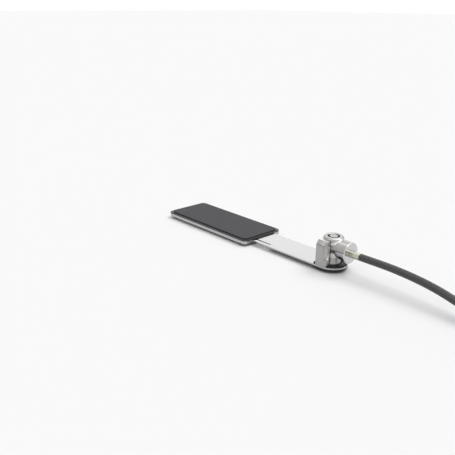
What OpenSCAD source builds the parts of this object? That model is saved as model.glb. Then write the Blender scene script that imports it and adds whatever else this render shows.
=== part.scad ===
// Laptop cable lock on a sliding security blade.
// A low housing is stuck under a laptop. A steel blade slides out of it, and a keyed lock
// head is locked into the slot at the blade's round end. A steel cable leaves the head.
// The origin is on the desk, under the middle of housing, blade and head taken together.
// +X runs along the blade towards the cable, +Z is up.

/* [Housing] */
// Length of the housing, along the blade
housing_l = 82; // [80:1:100]
// Width of the housing
housing_w = 34; // [32:1:44]
// Thickness of the bottom plate
tray_t = 0.8; // [0.7:0.1:1]
// Thickness of the top plate
cover_t = 0.8; // [0.6:0.1:1.2]
// Corner radius of the plates
plate_r = 3; // [1:0.5:4]
// Width of the spacer frame's back rail
back_rail = 4; // [3:0.5:6]
// Thickness of the adhesive pad
foam_t = 0.8; // [0.5:0.1:1.5]
// Inset of the adhesive pad from the top plate's edges
foam_inset = 1.5; // [1:0.5:3]

/* [Feet, rivets and spring] */
// Height of a rubber foot
foot_h = 1.7; // [1.7:0.1:2.5]
// Diameter of a rubber foot
foot_d = 7; // [5:0.5:8]
// Distance from a foot's centre to the housing's edges
foot_inset = 6; // [5:0.5:8]
// Diameter of a rivet
rivet_d = 2; // [1.4:0.1:2.4]
// Spacing of the rivets along a rail
rivet_step = 26; // [20:1:28]
// Length of the leaf spring
leaf_l = 12; // [10:1:16]
// Width of the leaf spring
leaf_w = 5; // [4:0.5:7]

/* [Blade] */
// Width of the blade
blade_w = 20.2; // [19.8:0.1:21]
// Thickness of the blade
blade_t = 1; // [0.9:0.1:1.2]
// Distance from the housing's mouth to the lock's axis, with the blade pulled out
blade_reach = 59; // [56:1:80]
// Distance from the centre of the round end to the lock's axis
end_shift = 0.5; // [0:0.1:1.5]
// Length of the security slot
slot_l = 7; // [6.8:0.1:7.4]
// Width of the security slot
slot_w = 3; // [2.9:0.1:3.3]
// Travel of the blade into the housing
travel = 36; // [20:1:40]
// Distance from the housing's mouth to the front end of the guide slot
guide_reach = 14; // [10:1:18]
// Distance of the guide slot from the blade's centre line
guide_y = 7; // [6:0.1:8]
// Diameter of the guide pin
guide_d = 1.2; // [1:0.1:1.5]

/* [Rubber pads] */
// Thickness of the pad on top of the blade
top_pad_t = 1.1; // [0.8:0.1:1.3]
// Thickness of the pad under the blade
under_pad_t = 0.9; // [0.7:0.1:1.1]
// Inset of the top pad from the blade's edge
pad_inset = 0.6; // [0.3:0.1:1]
// Inset of the under pad from the blade's edge
under_inset = 0.1; // [0.1:0.1:0.6]
// Diameter of the window in the top pad
pad_window_d = 12; // [11:0.5:13]
// Length of the pads behind the lock's axis
pad_back = 6.8; // [6.7:0.1:9]

/* [Lock head] */
// Diameter of the upright barrel
barrel_d = 12.4; // [12:0.1:12.6]
// Height of the barrel's top above the blade
barrel_h = 17.4; // [17:0.1:19]
// Chamfer round the barrel's top
barrel_chamfer = 0.8; // [0.4:0.1:0.9]
// Height of the barrel's underside above the blade
barrel_base = 10.1; // [9.9:0.1:10.3]
// Diameter of the neck under the barrel
neck_d = 9; // [8.8:0.1:9.4]
// Height of the flange's top above the blade
flange_top = 7.7; // [7.4:0.1:7.9]
// Diameter of the flange
flange_d = 10; // [9.6:0.1:10.4]
// Height of the flange's underside above the blade
flange_base = 4.8; // [4.4:0.1:5.2]
// Diameter of the conical foot where it stands on the blade
cone_d = 11.6; // [11:0.1:11.7]
// Diameter of the conical foot under the flange
cone_top_d = 9.3; // [9:0.1:9.6]

/* [Arm and swivel] */
// Diameter of the arm
arm_d = 13; // [12.6:0.1:13.4]
// Height of the arm's axis above the blade
arm_h = 9.8; // [9.6:0.1:10]
// Distance from the lock's axis to the arm's end face
arm_l = 13.3; // [13:0.1:16]
// Height of the shell's lower edge above the arm's axis
shell_rise = 0.7; // [0.5:0.1:1.2]
// Thickness of the cap on the arm's end
cap_t = 0.7; // [0.6:0.1:1.2]
// Radius of the rounded lower edges of the arm's half shell
shell_r = 0.9; // [0.4:0.1:1]
// Chamfer round the cap
cap_chamfer = 0.3; // [0.1:0.1:0.4]
// Diameter of the turning sleeve beside the barrel
sleeve_d = 10.4; // [9:0.1:10.6]
// Diameter of the sleeve's wide end, beside the cap
sleeve_end_d = 11.8; // [10.6:0.1:11.9]
// Distance of the sleeve's axis below the arm's axis
sleeve_drop = 0.2; // [0:0.1:0.4]
// Diameter of the ferrule
ferrule_d = 4.4; // [4:0.1:4.8]
// Length of ferrule that stands out of the cap
ferrule_out = 6.9; // [5:0.1:8]

/* [Post] */
// Length of the post, along the blade
post_l = 7.5; // [7:0.1:7.8]
// Distance from the lock's axis to the post's back face
post_behind = 5; // [4.8:0.1:5.3]
// Distance from the lock's axis to the post's front face
post_front = 9.9; // [9.7:0.1:10]
// Thickness of the post
post_t = 3.6; // [3.3:0.1:3.7]
// Height of the post's upright face above the blade
post_h = 12.9; // [12:0.1:13.5]
// Height of the post's flat top above the blade
post_top = 15.7; // [15:0.1:16.2]
// How far the sloping face leans back
post_lean = 1.9; // [1.5:0.1:2.3]
// Length of the bevel down the post's outer corner, along the blade
corner_l = 1.8; // [0.6:0.1:2]
// Depth of the same bevel, across the blade
corner_d = 1; // [0.4:0.1:1.4]
// Length of the bevel at the post's outer top edge
edge_l = 0.5; // [0.3:0.1:0.8]
// Diameter of the dowel in the post's side
dowel_d = 1.6; // [1.2:0.1:1.8]
// Height of the dowel above the blade
dowel_h = 4.7; // [4:0.1:7]

/* [Lock cylinder] */
// Outer diameter of the cylinder's case
case_d = 9; // [8.8:0.1:9.4]
// Outer diameter of the round keyway
keyway_d = 7.3; // [7.2:0.1:7.5]
// Depth of the keyway
keyway_depth = 2.6; // [2:0.1:3]
// Size of the bevel round the keyway's mouth
mouth_bevel = 0.35; // [0.2:0.05:0.5]
// Diameter of the post in the keyway
key_post_d = 5.2; // [5:0.1:5.3]
// Number of pin stacks
pin_count = 7; // [5:1:7]
// Diameter of a pin
pin_d = 0.7; // [0.6:0.05:0.75]
// Diameter of the spindle
spindle_d = 2.8; // [2.6:0.1:2.8]
// Length of the T-bar
t_bar_l = 6.6; // [6:0.1:6.7]
// Height of the T-bar
t_bar_t = 1.2; // [1:0.1:1.3]

/* [Cable] */
// Diameter of the cable over its jacket
cable_d = 4.5; // [4:0.1:4.5]
// Distance from the ferrule's end to the middle of the hank, along the blade
hank_reach = 163; // [158:1:170]
// Length of the hank's straight runs
hank_run = 92; // [80:1:96]
// Smallest radius of the hank's folds
hank_r = 13.5; // [13.5:0.1:14]
// Distance between neighbouring loops, and between layers
turn_step = 5; // [5:0.1:5.2]
// Loops in the hank, one in each layer
hank_loops = 4; // [2:2:4]
// Length of the cable's end from the hank to the crimp
tail_l = 50; // [46:1:54]
// Length of the crimp that closes the end loop
crimp_l = 14; // [10:1:18]
// Width of the two straps round the hank
strap_w = 8; // [6:0.5:12]
// Thickness of a strap
strap_t = 0.6; // [0.4:0.1:0.8]

/* [Hidden] */

$fn = 96;
tiny = 0.01;                // how far a cut reaches past the face that it opens
past = 1;                   // how far a cut reaches past a face that it crosses
big = 60;                   // longer than anything that it cuts through

run_fit = 0.05;             // radial clearance of a part that turns
slide_fit = 0.1;            // clearance of the blade in its channel
flat_gap = 0.1;             // clearance between flat faces that pass each other

// Places along X. The object reaches as far to the left as to the right.
overall_l = housing_l + blade_reach + arm_l + ferrule_out;
housing_x0 = -overall_l / 2;
mouth_x = housing_x0 + housing_l;
lock_x = mouth_x + blade_reach;
end_x = lock_x - end_shift;
guide_w = guide_d + 2 * slide_fit;
guide_x1 = mouth_x + guide_reach;
guide_pin_x = guide_x1 - travel - guide_w / 2;
guide_x0 = guide_pin_x - guide_w / 2;
tail_margin = 4;            // steel behind the guide slot
tail_x = guide_x0 - tail_margin;

// Heights above the desk
blade_z = foot_h + tray_t;
blade_top = blade_z + blade_t;
cover_z = blade_top + slide_fit;
foam_z = cover_z + cover_t;
frame_h = cover_z - blade_z;
sleeve_h = arm_h - sleeve_drop;
cable_z = blade_top + sleeve_h;

// Widths
channel_w = blade_w + 2 * slide_fit;
rivet_y = (channel_w + housing_w) / 4;
rivet_rows = 3;
rivet_x0 = housing_x0 + (housing_l - (rivet_rows - 1) * rivet_step) / 2;

// Leaf spring that brakes the blade
leaf_t = 0.3;
leaf_seat = 3;
leaf_room = 0.5;
leaf_ahead = 3;             // from the guide pin to the leaf's seat
leaf_x = guide_pin_x + leaf_ahead;

// Lock head
cap_x = arm_l - cap_t;
sleeve_wall = 0.9;          // between the lock cylinder's case and the sleeve
sleeve_x0 = case_d / 2 + sleeve_wall;
sleeve_x1 = cap_x - flat_gap;
ferrule_floor = 1;          // steel of the sleeve behind the ferrule
ferrule_x0 = sleeve_x0 + ferrule_floor;
stub_d = 8;                 // stub that the sleeve turns against
ferrule_x1 = arm_l + ferrule_out;
post_x0 = -post_behind;
post_x1 = post_x0 + post_l;
post_y0 = -post_front;
post_y1 = post_y0 + post_t;
shell_h = arm_h + shell_rise;
arc_lap = 0.05;
dowel_l = 4;
// The dowel's domed end: how far out, and the share of its diameter that is left there
dome = [[0, 1], [0.25, 0.85], [0.42, 0.6], [0.5, 0.3]];
dowel_wall = 1.4;           // from the dowel's axis to the post's inner face
dowel_y = post_y1 - dowel_wall;
pit_d = 0.9;                // small round pit in the post's corner bevel
pit_depth = 1;
pit_h = 4.7;
bridge_room = 1;            // from the bridge's end to the post's side face
post_room = 0.3;            // room round the post in the top pad
notch_overlap = 1;          // how far the pad's notch for the post runs into its window

// Lock cylinder, measured up from the blade
case_floor = 0.8;           // steel under the case
block_floor = 0.4;          // steel under the driver block
case_base = barrel_base + case_floor;
block_base = flange_top + block_floor;
plug_h = 2.2;
plug_top = barrel_h - keyway_depth;
plug_base = plug_top - plug_h;
block_top = plug_base - flat_gap;
block_d = keyway_d - 2 * run_fit;
bore_d = spindle_d + 2 * run_fit;
pin_bore_d = pin_d + 2 * run_fit;
pin_circle_d = (keyway_d + key_post_d) / 2;
pin_rise = 0.4;             // how far the key pins stand up in the keyway
driver_l = 1.4;
spring_floor = 0.6;         // brass under the springs
spring_base = block_base + spring_floor;
spring_top = block_top - driver_l;
key_post_sunk = 0.1;        // how far the key post ends below the barrel's top
key_post_h = keyway_depth - key_post_sunk;
notch_w = 0.9;              // notch that the key's tab enters
notch_depth = 0.7;
notch_angle = 70;
case_pin_d = 1;
case_pin_cover = 0.2;       // brass above the case pin
case_pin_grip = 0.6;        // how far the case pin enters the driver block
case_pin_sunk = 0.1;        // how far its outer end lies below the barrel's surface
case_pin_h = block_top - case_pin_d / 2 - case_pin_cover;
case_pin_r0 = block_d / 2 - case_pin_grip;
case_pin_r1 = barrel_d / 2 - case_pin_sunk;
clip_room_d = 5;
clip_room_h = 0.8;
clip_d = 4.2;
clip_t = 0.4;
clip_lift = 0.2;            // under the clip
clip_h = block_base - clip_room_h + clip_lift;

// Lugs and T-bar in the security slot
lug_room = 0.3;             // room beside the lugs and between them and the spindle
lug_end_room = 0.2;
t_bar_room = 0.4;           // the T-bar is this much narrower than the slot
t_bar_turn_room = 0.7;      // round the turning T-bar in the under pad
lug_w = slot_w - lug_room;
lug_x0 = spindle_d / 2 + lug_room;
lug_x1 = slot_l / 2 - lug_end_room;
t_bar_w = slot_w - t_bar_room;
t_bar_top = -blade_t - 2 * flat_gap;
under_window_d = t_bar_l + 2 * t_bar_turn_room;

// Cable
cable_r = cable_d / 2;
run_sides = 10;
loop_sides = 8;
hank_sides = 6;
run_rings = 4;              // rings along a straight run of the hank
fold_rings = 8;             // rings along a fold of the hank
layer_z = strap_t + cable_r;
hank_y = 5;
tip_x = lock_x + ferrule_x1;
hank_x = tip_x + hank_reach;
hank_x0 = hank_x - hank_run / 2;
run_end_x = hank_x0 - cable_d;
fold_l = PI * (hank_r + turn_step / 2);
run_share = hank_run / (hank_run + fold_l);
// The run's way from the ferrule to the hank: distance along, distance aside, and the
// share of the whole drop that is still to come
run_way = [
    [0, 0, 1],
    [cable_d, 0, 1],
    [13, 0, 1],
    [21, -0.1, 0.995],
    [29, -0.5, 0.975],
    [37, -0.9, 0.93],
    [45, -1.5, 0.865],
    [53, -2.2, 0.765],
    [60, -3, 0.65],
    [68, -4.1, 0.51],
    [76, -5.5, 0.345],
    [84, -7.8, 0.2],
    [91, -10.2, 0.09],
    [97, -12.2, 0.02],
    [102.5, -13.6, 0]
];
entry_y = hank_y - hank_r - turn_step * (1 + run_share / 4);
run_route = concat(
    [for (p = run_way) [tip_x + p[0], p[1], layer_z + p[2] * (cable_z - layer_z)]],
    [[run_end_x - cable_d, entry_y, layer_z], [run_end_x, entry_y, layer_z]]
);
top_z = layer_z + turn_step * (hank_loops - 1);
pile_top = top_z + cable_r;
crimp_wall = 0.8;
crimp_r = cable_r + crimp_wall;
crimp_z = pile_top + strap_t + crimp_r;
leg_gap = 0.4;              // between the legs of the loop in the crimp
leg_y = cable_r + leg_gap / 2;
tail_y0 = hank_y - hank_r - turn_step * (1 - run_share / 4);
tail_y1 = hank_y - leg_y;
tail_x1 = hank_x0 + tail_l;
// The tail's way from the hank to the crimp: distance along, and the share of its rise
// and of its way aside that is done
tail_way = [
    [cable_d, 0],
    [2 * cable_d, 0],
    [13.5, 0.01],
    [19, 0.1],
    [24, 0.28],
    [28.5, 0.5],
    [33, 0.72],
    [38, 0.9],
    [tail_l - cable_d, 1],
    [tail_l, 1]
];
tail_route = [
    for (p = tail_way)
        [hank_x0 + p[0], tail_y0 + p[1] * (tail_y1 - tail_y0), top_z + p[1] * (crimp_z - top_z)]
];
loop_x = tail_x1 + crimp_l;
loop_z = pile_top + cable_r;
// Centre line of half the end loop, from the crimp to its far end: distance along,
// distance aside, and the share of the drop from the crimp that is still to come
half_loop = [
    [0, leg_y, 1],
    [cable_d, leg_y, 1],
    [10, 4.2, 0.57],
    [16.5, 8, 0.14],
    [23, 11.8, 0],
    [30, 13.8, 0],
    [37, 12.4, 0],
    [42, 7.8, 0],
    [44, 0, 0]
];
loop_points = len(half_loop);
loop_route = [
    for (i = [0 : 2 * loop_points - 2])
        let (first = i < loop_points, p = half_loop[first ? i : 2 * loop_points - 2 - i])
        [
            loop_x + p[0],
            hank_y + (first ? -p[1] : p[1]),
            loop_z + p[2] * (crimp_z - loop_z)
        ]
];

// Centre of the hank's tube after v half loops: a run and then a fold, and back again on
// the other side
function hank_centre(v) =
    let (
        half_loops = floor(v),
        way = v - half_loops,
        back = half_loops % 2,
        along_run = min(way / run_share, 1),
        fold = 180 * max(way - run_share, 0) / (1 - run_share),
        r = hank_r + turn_step * abs(1 - ((v - run_share / 2) / 2) % 2),
        x = (along_run - 0.5) * hank_run + r * sin(fold),
        y = -r * cos(fold),
        climb = back == 1 ? 1 : (1 - cos(180 * along_run)) / 2,
        layer = v < 2 ? 0 : floor(v / 2) - 1 + climb
    )
    [hank_x + (back == 1 ? -x : x), hank_y + (back == 1 ? -y : y), layer_z + turn_step * layer];
half_loop_ways = concat(
    [for (i = [0 : run_rings - 1]) run_share * i / run_rings],
    [for (i = [0 : fold_rings - 1]) run_share + (1 - run_share) * i / fold_rings]
);
hank_path = concat(
    [[run_end_x, entry_y, layer_z]],
    [for (i = [0 : 2 * hank_loops - 1]) for (way = half_loop_ways) hank_centre(i + way)],
    [hank_centre(2 * hank_loops)],
    [[hank_x0 + cable_d, tail_y0, top_z]]
);

// ---------- helpers ----------

function unit(v) = v / norm(v);
function heading(path, i) = unit(path[min(i + 1, len(path) - 1)] - path[max(i - 1, 0)]);

// The points of a ring round a path, square to its heading
function ring(path, i, r, sides) =
    let (
        ahead = heading(path, i),
        aside = unit(cross([0, 0, 1], ahead)),
        above = cross(ahead, aside)
    )
    [for (k = [0 : sides - 1])
        let (a = 360 * (k + 0.5) / sides)
        path[i] + r * (cos(a) * aside + sin(a) * above)];

// A closed tube along a path
module tube(path, r, sides) {
    rings = len(path);
    last = (rings - 1) * sides;
    points = [for (i = [0 : rings - 1]) each ring(path, i, r, sides)];
    wall = [
        for (i = [0 : rings - 2], k = [0 : sides - 1])
            let (a = i * sides + k, b = i * sides + (k + 1) % sides)
            each [[a, a + sides, b + sides], [a, b + sides, b]]
    ];
    start = [for (k = [1 : sides - 2]) [0, k, k + 1]];
    finish = [for (k = [1 : sides - 2]) [last, last + k + 1, last + k]];
    polyhedron(points, concat(start, wall, finish));
}

// A flat plate with rounded corners between x0 and x1
module plate(x0, x1, w, t, r) {
    linear_extrude(t) {
        translate([x0 + r, -w / 2]) square([x1 - x0 - 2 * r, w]);
        translate([x0, -w / 2 + r]) square([x1 - x0, w - 2 * r]);
        for (x = [x0 + r, x1 - r], y = [-w / 2 + r, w / 2 - r])
            translate([x, y]) circle(r);
    }
}

// A cylinder along X, from x0 to x1
module bar(x0, x1, d) {
    cone_bar(x0, x1, d, d);
}

// A cone along X, with diameter d0 at x0 and d1 at x1
module cone_bar(x0, x1, d0, d1) {
    translate([x0, 0, 0]) rotate([0, 90, 0]) cylinder(h = x1 - x0, d1 = d0, d2 = d1);
}

module at_lock() {
    translate([lock_x, 0, blade_top]) children();
}

module each_pin() {
    for (i = [0 : pin_count - 1])
        rotate([0, 0, 90 + 360 * (i + 0.5) / pin_count])
            translate([pin_circle_d / 2, 0, 0]) children();
}

module each_rivet() {
    for (i = [0 : rivet_rows - 1], y = [-rivet_y, rivet_y])
        translate([rivet_x0 + i * rivet_step, y, 0]) children();
}

module at_guide_pin() {
    translate([guide_pin_x, -guide_y, 0]) children();
}

// ---------- housing ----------

module housing_tray() {
    window = leaf_w + 2 * leaf_room;
    color("dimgray")
    translate([0, 0, foot_h])
    difference() {
        plate(housing_x0, mouth_x, housing_w, tray_t, plate_r);
        each_rivet() translate([0, 0, -tiny]) cylinder(h = big, d = rivet_d);
        at_guide_pin() translate([0, 0, -tiny]) cylinder(h = big, d = guide_d);
        translate([leaf_x + leaf_seat, -window / 2, -tiny])
            cube([leaf_l + leaf_room - leaf_seat, window, big]);
        translate([leaf_x, -leaf_w / 2, tray_t - leaf_t]) cube([leaf_l, leaf_w, big]);
    }
}

module channel_frame() {
    color("gray")
    translate([0, 0, blade_z])
    difference() {
        plate(housing_x0, mouth_x, housing_w, frame_h, plate_r);
        translate([housing_x0 + back_rail, -channel_w / 2, -tiny])
            cube([housing_l, channel_w, big]);
        each_rivet() translate([0, 0, -tiny]) cylinder(h = big, d = rivet_d);
    }
}

module housing_cover() {
    color([0.12, 0.12, 0.13])
    translate([0, 0, cover_z])
    difference() {
        plate(housing_x0, mouth_x, housing_w, cover_t, plate_r);
        each_rivet() translate([0, 0, -tiny]) cylinder(h = big, d = rivet_d);
        at_guide_pin() translate([0, 0, -tiny]) cylinder(h = big, d = guide_d);
    }
}

module adhesive_pad() {
    pad_w = housing_w - 2 * foam_inset;
    color([0.2, 0.2, 0.21])
    translate([0, 0, foam_z])
        plate(housing_x0 + foam_inset, mouth_x - foam_inset, pad_w, foam_t, plate_r);
}

module rubber_feet() {
    y = housing_w / 2 - foot_inset;
    color([0.1, 0.1, 0.1])
    for (x = [housing_x0 + foot_inset, mouth_x - foot_inset], side = [-y, y])
        translate([x, side, 0]) cylinder(h = foot_h, d = foot_d);
}

module housing_rivets() {
    color("silver")
    each_rivet() translate([0, 0, foot_h]) cylinder(h = foam_z - foot_h, d = rivet_d);
}

module guide_pin() {
    color("silver")
    at_guide_pin() translate([0, 0, foot_h]) cylinder(h = foam_z - foot_h, d = guide_d);
}

module friction_leaf() {
    color("silver")
    translate([leaf_x, -leaf_w / 2, blade_z - leaf_t]) cube([leaf_l, leaf_w, leaf_t]);
}

// ---------- blade ----------

// The strip's outline from x0 to its round end, smaller all round by the inset
module strip(x0, inset) {
    w = blade_w - 2 * inset;
    translate([x0, -w / 2]) square([end_x - x0, w]);
    translate([end_x, 0]) circle(d = w);
}

module blade() {
    color("lightgray")
    translate([0, 0, blade_z])
    difference() {
        linear_extrude(blade_t) strip(tail_x, 0);
        translate([lock_x - slot_l / 2, -slot_w / 2, -tiny]) cube([slot_l, slot_w, big]);
        translate([guide_x0 + guide_w / 2, -guide_y, -tiny]) {
            cylinder(h = big, d = guide_w);
            translate([0, -guide_w / 2, 0]) cube([guide_x1 - guide_x0 - guide_w, guide_w, big]);
            translate([guide_x1 - guide_x0 - guide_w, 0, 0]) cylinder(h = big, d = guide_w);
        }
    }
}

module top_pad() {
    notch_l = post_l + 2 * post_room;
    notch_y = notch_overlap - pad_window_d / 2;
    color([0.08, 0.08, 0.09])
    translate([0, 0, blade_top])
    difference() {
        linear_extrude(top_pad_t) strip(lock_x - pad_back, pad_inset);
        translate([lock_x, 0, -tiny]) cylinder(h = big, d = pad_window_d);
        translate([lock_x + post_x0 - post_room, notch_y - big, -tiny]) cube([notch_l, big, big]);
    }
}

module under_pad() {
    color([0.08, 0.08, 0.09])
    translate([0, 0, blade_z - under_pad_t])
    difference() {
        linear_extrude(under_pad_t) strip(lock_x - pad_back, under_inset);
        translate([lock_x, 0, -tiny]) cylinder(h = big, d = under_window_d);
    }
}

// ---------- lock head ----------

module barrel() {
    rim_h = barrel_h - barrel_chamfer;
    translate([0, 0, barrel_base]) cylinder(h = rim_h - barrel_base, d = barrel_d);
    translate([0, 0, rim_h])
        cylinder(h = barrel_chamfer, d1 = barrel_d, d2 = barrel_d - 2 * barrel_chamfer);
    translate([0, 0, flange_top]) cylinder(h = barrel_base - flange_top, d = neck_d);
    translate([0, 0, flange_base]) cylinder(h = flange_top - flange_base, d = flange_d);
    cylinder(h = flange_base, d1 = cone_d, d2 = cone_top_d);
}

// The half shell's outline, seen along the arm: a round top over a flat underside, with an
// arc at each side that runs a little past the round top, so that the two cross
module shell_section() {
    arc_z = shell_rise + shell_r;
    arc_y = sqrt(pow(arm_d / 2, 2) - pow(arc_z, 2)) - shell_r + arc_lap;
    intersection() {
        circle(d = arm_d);
        union() {
            translate([-arm_d, arc_z]) square([2 * arm_d, arm_d]);
            translate([-arc_y, shell_rise]) square([2 * arc_y, arm_d]);
            for (side = [-1, 1]) translate([side * arc_y, arc_z]) circle(r = shell_r);
        }
    }
}

// The half shell over the turning sleeve, and the stub that the sleeve turns against
module arm() {
    translate([0, 0, arm_h]) rotate([90, 0, 90]) linear_extrude(cap_x) shell_section();
    translate([0, 0, sleeve_h]) bar(0, sleeve_x0 - flat_gap, stub_d);
}

// The upright post with its leaning top face, two bevels, and the bridge to the barrel
module post() {
    side = [
        [post_y0, 0],
        [post_y1, 0],
        [post_y1, post_top],
        [post_y0 + post_lean, post_top],
        [post_y0, post_h]
    ];
    corner_cut = [
        [-corner_l, 0],
        [-corner_l, -past],
        [past, -past],
        [past, corner_d],
        [0, corner_d]
    ];
    lean_angle = atan2(post_lean, post_top - post_h);
    difference() {
        translate([post_x0, 0, 0]) rotate([90, 0, 90]) linear_extrude(post_l) polygon(side);
        translate([post_x1, post_y0, -tiny]) linear_extrude(big) polygon(corner_cut);
        translate([0, post_y0, post_h]) rotate([-lean_angle, 0, 0]) translate([post_x1, 0, -big / 2])
            linear_extrude(big) polygon(corner_cut);
        translate([post_x1, 0, post_top]) rotate([90, 0, 0]) linear_extrude(big)
            polygon([[-edge_l, 0], [-edge_l, past], [past, past], [past, -edge_l], [0, -edge_l]]);
    }
    translate([post_x0, post_y1 - tiny, shell_h])
        cube([post_l - bridge_room, -post_y1, post_top - shell_h]);
}

module lugs() {
    for (x = [lug_x0, -lug_x1])
        translate([x, -lug_w / 2, -blade_t]) cube([lug_x1 - lug_x0, lug_w, blade_t + tiny]);
}

module case_pin_bar() {
    translate([0, case_pin_r0, case_pin_h]) rotate([-90, 0, 0])
        cylinder(h = case_pin_r1 - case_pin_r0, d = case_pin_d);
}

module lock_body() {
    color("silver")
    at_lock()
    difference() {
        union() {
            barrel();
            arm();
            post();
            lugs();
        }
        translate([0, 0, case_base]) cylinder(h = big, d = case_d);
        translate([0, 0, block_base]) cylinder(h = big, d = keyway_d);
        translate([0, 0, block_base - clip_room_h]) cylinder(h = big, d = clip_room_d);
        translate([0, 0, -big / 2]) cylinder(h = big, d = bore_d);
        translate([0, 0, sleeve_h])
            cone_bar(
                sleeve_x0 - flat_gap,
                cap_x + tiny,
                sleeve_d + 2 * run_fit,
                sleeve_end_d + 2 * run_fit
            );
        case_pin_bar();
        translate([post_x1 - dowel_l, dowel_y, dowel_h]) bar(0, dowel_l + past, dowel_d);
        post_pit();
    }
}

// The small pit, bored square to the corner bevel
module post_pit() {
    bevel_angle = atan2(-corner_l, corner_d);
    translate([post_x1 - corner_l / 2, post_y0 + corner_d / 2, pit_h])
        rotate([0, 0, bevel_angle]) bar(-pit_depth, pit_depth, pit_d);
}

module arm_cap() {
    color("gainsboro")
    at_lock()
    difference() {
        translate([0, 0, arm_h]) {
            bar(cap_x, arm_l - cap_chamfer, arm_d);
            translate([arm_l - cap_chamfer, 0, 0]) rotate([0, 90, 0])
                cylinder(h = cap_chamfer, d1 = arm_d, d2 = arm_d - 2 * cap_chamfer);
        }
        translate([0, 0, sleeve_h]) bar(cap_x - past, arm_l + past, ferrule_d + 2 * run_fit);
    }
}

module cylinder_case() {
    color("silver")
    at_lock()
    difference() {
        translate([0, 0, case_base]) cylinder(h = barrel_h - case_base, d = case_d);
        cylinder(h = big, d = keyway_d);
        translate([0, 0, barrel_h - mouth_bevel])
            cylinder(h = 2 * mouth_bevel, d1 = keyway_d, d2 = keyway_d + 4 * mouth_bevel);
        case_pin_bar();
    }
}

module case_pin() {
    color("gray")
    at_lock() case_pin_bar();
}

module post_dowel() {
    color("white")
    at_lock()
    translate([post_x1 - dowel_l, dowel_y, dowel_h])
    rotate([0, 90, 0]) {
        cylinder(h = dowel_l, d = dowel_d);
        for (i = [1 : len(dome) - 1])
            translate([0, 0, dowel_l + dome[i - 1][0]])
            cylinder(
                h = dome[i][0] - dome[i - 1][0],
                d1 = dowel_d * dome[i - 1][1],
                d2 = dowel_d * dome[i][1]
            );
    }
}

// ---------- lock cylinder ----------

module driver_block() {
    color("goldenrod")
    at_lock()
    difference() {
        translate([0, 0, block_base]) cylinder(h = block_top - block_base, d = block_d);
        cylinder(h = big, d = bore_d);
        each_pin() translate([0, 0, spring_base]) cylinder(h = big, d = pin_bore_d);
        case_pin_bar();
    }
}

module driver_pins() {
    color("gold")
    at_lock() each_pin() translate([0, 0, spring_top]) cylinder(h = driver_l, d = pin_d);
}

module pin_springs() {
    color("silver")
    at_lock() each_pin()
    difference() {
        translate([0, 0, spring_base]) cylinder(h = spring_top - spring_base, d = pin_d);
        cylinder(h = big, d = pin_d / 2);
    }
}

module key_plug() {
    color("silver")
    at_lock()
    difference() {
        translate([0, 0, plug_base]) cylinder(h = plug_h, d = block_d);
        each_pin() cylinder(h = big, d = pin_bore_d);
    }
}

module key_post() {
    color("lightgray")
    at_lock() translate([0, 0, plug_top])
    difference() {
        cylinder(h = key_post_h, d = key_post_d);
        rotate([0, 0, notch_angle])
            translate([key_post_d / 2 - notch_depth, -notch_w / 2, -tiny]) cube([big, notch_w, big]);
    }
}

module key_pins() {
    color("gold")
    at_lock() each_pin() translate([0, 0, plug_base]) cylinder(h = plug_h + pin_rise, d = pin_d);
}

module spindle() {
    color("silver")
    at_lock() translate([0, 0, t_bar_top]) cylinder(h = plug_base - t_bar_top, d = spindle_d);
}

module spindle_clip() {
    color("gray")
    at_lock() translate([0, 0, clip_h])
    difference() {
        cylinder(h = clip_t, d = clip_d);
        translate([0, 0, -tiny]) cylinder(h = big, d = spindle_d);
    }
}

module t_bar() {
    color("silver")
    at_lock() translate([0, 0, t_bar_top - t_bar_t])
    intersection() {
        translate([-t_bar_w / 2, -t_bar_l / 2, 0]) cube([t_bar_w, t_bar_l, t_bar_t]);
        cylinder(h = t_bar_t, d = t_bar_l);
    }
}

// ---------- swivel ----------

module swivel_sleeve() {
    color("darkgray")
    at_lock() translate([0, 0, sleeve_h])
    difference() {
        cone_bar(sleeve_x0, sleeve_x1, sleeve_d, sleeve_end_d);
        bar(ferrule_x0, arm_l, ferrule_d);
    }
}

module ferrule() {
    color([0.75, 0.75, 0.66])
    at_lock() translate([0, 0, sleeve_h]) bar(ferrule_x0, ferrule_x1, ferrule_d);
}

// ---------- cable ----------

module cable_run() {
    color([0.2, 0.2, 0.21]) tube(run_route, cable_r, run_sides);
}

module cable_hank() {
    color([0.2, 0.2, 0.21]) tube(hank_path, cable_r, hank_sides);
}

module cable_tail() {
    color([0.2, 0.2, 0.21]) tube(tail_route, cable_r, run_sides);
}

module end_loop() {
    color([0.2, 0.2, 0.21]) tube(loop_route, cable_r, loop_sides);
}

// A flat band round the whole hank from x onwards, that touches the near runs at y0 and
// the far runs at y1, with its upper near corner cut off
module strap(x, y0, y1, cut) {
    translate([x, hank_y, 0])
    rotate([90, 0, 90])
    linear_extrude(strap_w)
    difference() {
        offset(delta = strap_t) strap_inside(y0, y1, cut);
        strap_inside(y0, y1, cut);
    }
}

module strap_inside(y0, y1, cut) {
    polygon([
        [y0, strap_t], [y0, pile_top - cut], [y0 + cut, pile_top], [y1, pile_top], [y1, strap_t]
    ]);
}

// The first strap also holds the end of the top loop; the second one carries the crimp
module hank_straps() {
    outer_r = hank_r + turn_step;
    drift = turn_step * run_share / 4;
    color([0.1, 0.1, 0.1]) {
        strap(hank_x0, -outer_r - drift - cable_r, hank_r + turn_step / 2 + drift + cable_r, tiny);
        strap(
            tail_x1 + (crimp_l - strap_w) / 2,
            -outer_r - cable_r,
            hank_r + turn_step / 2 + drift / 2 + cable_r,
            turn_step
        );
    }
}

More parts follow.
